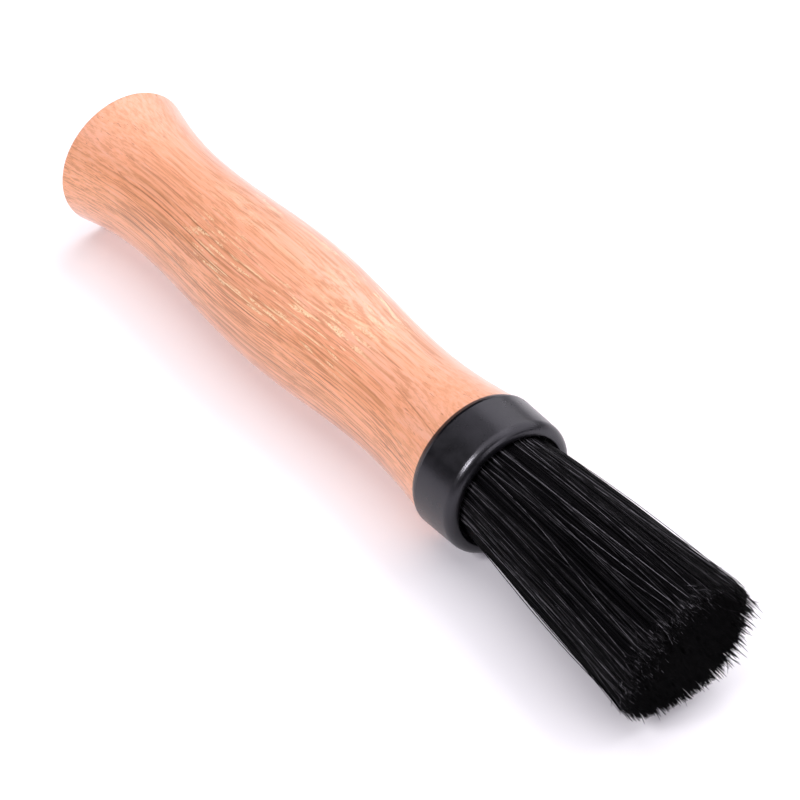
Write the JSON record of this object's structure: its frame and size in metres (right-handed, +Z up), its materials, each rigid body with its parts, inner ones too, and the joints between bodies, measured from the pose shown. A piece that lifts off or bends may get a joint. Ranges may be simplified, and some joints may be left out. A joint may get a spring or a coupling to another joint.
{
  "type": "round duster brush",
  "caption": "Short round duster brush with a turned, waisted wooden handle, a rounded black collar and a stiff black tuft that spreads to a flat cut end.",
  "frame": {"origin": "under the middle of the brush's length, on the surface that it lies on, straight below its axis", "axes": "+X along the brush from the butt of the handle to the bristle tips, +Z up, +Y to the left of a person looking from the butt to the tips"},
  "size_m": [0.178, 0.0298, 0.0296],
  "materials": {
    "oak": "satin clear-coated oak with fine dark pores and pale ray flecks along the grain",
    "black_collar": "satin moulded black",
    "black_bristle": "drawn black nylon filament with a soft shine along each bristle",
    "clear_glue": "cured clear glue, slightly yellow",
    "cup_metal": "plain drawn aluminium",
    "amber_resin": "cast amber resin",
    "binding_thread": "waxed cotton thread"
  },
  "bodies": {
    "root": {"handle": "oak", "ferrule": "black_collar", "ferrule_adhesive": "clear_glue", "knot_cup": "cup_metal", "cup_adhesive": "clear_glue", "resin_plug": "amber_resin", "root_binding": "binding_thread", "bristle_core": "black_bristle", "bristle_outer": "black_bristle"}
  },
  "joints": []
}
